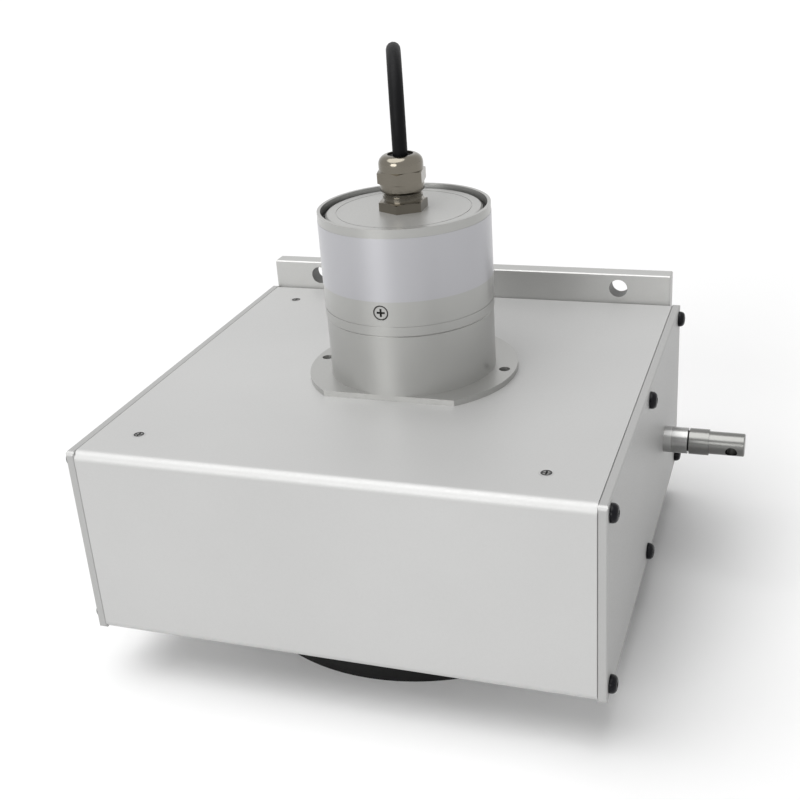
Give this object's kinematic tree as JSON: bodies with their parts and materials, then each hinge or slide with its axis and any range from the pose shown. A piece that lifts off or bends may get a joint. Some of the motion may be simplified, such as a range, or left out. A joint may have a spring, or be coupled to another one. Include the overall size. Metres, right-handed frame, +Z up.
{
  "type": "draw wire encoder",
  "caption": "Draw wire encoder: spring-loaded wire drum in a flat aluminium housing with a mounting plate, a round sensor head on top and a wire that pulls out at the side.",
  "frame": {"origin": "on the axis of the wire drum and sensor head, at the underside of the spring cup that the unit rests on", "axes": "+X the way the wire is pulled out; +Y towards the mounting plate at the back; +Z up along the sensor head"},
  "size_m": [0.2031, 0.2823, 0.1939],
  "materials": {
    "housing_aluminium": "clear satin anodised extrusion",
    "end_plate_aluminium": "clear satin anodised plate",
    "mounting_plate_aluminium": "clear satin anodised plate with machined edges",
    "sensor_aluminium": "clear satin anodised turning",
    "machined_aluminium": "turned, plain",
    "black_screws": "black oxide, glossy",
    "dark_screws": "plain dark steel",
    "zinc_screws": "zinc plated steel",
    "polished_steel": "polished stainless steel",
    "nickel_brass": "nickel plated brass",
    "bare_brass": "plain brass",
    "bronze": "plain bronze",
    "steel": "ground steel",
    "spring_steel": "blued spring strip",
    "wire_rope": "stranded stainless wire",
    "ceramic": "glazed ceramic",
    "black_cup": "black moulded cup",
    "black_rubber": "black rubber",
    "cable_jacket": "black cable jacket",
    "board_green": "green solder resist",
    "terminal_green": "green moulded block",
    "magnet": "dark ferrite"
  },
  "bodies": {
    "housing": {"main_housing": "housing_aluminium", "base_plate": "mounting_plate_aluminium", "base_plate_screws": "zinc_screws", "left_end_plate": "end_plate_aluminium", "right_end_plate": "end_plate_aluminium", "end_plate_screws": "black_screws", "spacer_columns": "machined_aluminium", "column_screws": "dark_screws", "outlet_nozzle": "polished_steel", "outlet_lock_ring": "polished_steel", "outlet_nut": "steel", "guide_eyelet": "ceramic", "lead_tube": "bronze", "upper_bearing_outer": "steel", "upper_bearing_balls": "steel", "lower_bearing_carrier": "machined_aluminium", "carrier_screws": "zinc_screws", "lower_bearing_outer": "steel", "lower_bearing_balls": "steel", "spring_cup": "black_cup", "spring_cup_screws": "black_screws", "encoder_base": "sensor_aluminium", "encoder_base_screws": "zinc_screws", "bearing_deck": "machined_aluminium", "head_bearing_outer": "steel", "gear_plate": "bare_brass", "gear_posts": "steel", "circuit_board": "board_green", "terminal_block": "terminal_green", "encoder_tube": "sensor_aluminium", "tube_screws": "zinc_screws", "end_cap": "sensor_aluminium", "cap_seal": "black_rubber", "gland_body": "nickel_brass", "gland_nut": "nickel_brass", "gland_seal": "black_rubber", "gland_locknut": "nickel_brass", "inner_cable": "cable_jacket", "cable": "cable_jacket", "cable_coil": "cable_jacket"},
    "wire_end": {"bumper_ring": "black_rubber", "wire_clamp": "polished_steel", "wire_end_piece": "polished_steel", "wire_ferrule": "bare_brass", "measuring_wire": "wire_rope"},
    "shaft": {"drive_shaft": "steel", "shaft_key": "steel", "lower_bearing_inner": "steel", "upper_bearing_inner": "steel", "shaft_coupling": "machined_aluminium", "encoder_shaft": "steel", "head_bearing_inner": "steel", "shaft_pinion": "bare_brass", "spring_arbor": "steel", "power_spring": "spring_steel"},
    "drum": {"cable_drum": "machined_aluminium", "wound_wire": "wire_rope"},
    "idler": {"idler_gear": "bare_brass"},
    "sensor_wheel": {"sensor_gear": "bare_brass", "sensor_magnet": "magnet"}
  },
  "joints": [
    {"name": "wire_pull", "type": "slide", "parent": "housing", "child": "wire_end", "axis": [1, 0, 0], "range_m": [0, 9], "stiffness_N_per_m": 0.4, "springref_m": -20, "deforming": ["measuring_wire"]},
    {"name": "shaft_spin", "type": "hinge", "parent": "housing", "child": "shaft", "pos_m": [0, 0, 0], "axis": [0, 0, -1], "range_deg": [0, 13500], "deforming": ["power_spring"]},
    {"name": "drum_travel", "type": "slide", "parent": "shaft", "child": "drum", "axis": [0, 0, -1], "range_m": [0, 0.0207]},
    {"name": "idler_spin", "type": "hinge", "parent": "housing", "child": "idler", "pos_m": [-0.0126, 0, 0.12], "axis": [0, 0, 1], "range_deg": [0, 2700]},
    {"name": "sensor_spin", "type": "hinge", "parent": "housing", "child": "sensor_wheel", "pos_m": [0, 0, 0.12], "axis": [0, 0, -1], "range_deg": [0, 337.5]}
  ],
  "couplings": [
    {"joint": "shaft_spin", "follows": "wire_pull", "rad_per_m": 26.178},
    {"joint": "drum_travel", "follows": "wire_pull", "ratio": 0.0022915},
    {"joint": "idler_spin", "follows": "wire_pull", "rad_per_m": 5.2356},
    {"joint": "sensor_spin", "follows": "wire_pull", "rad_per_m": 0.65445}
  ]
}
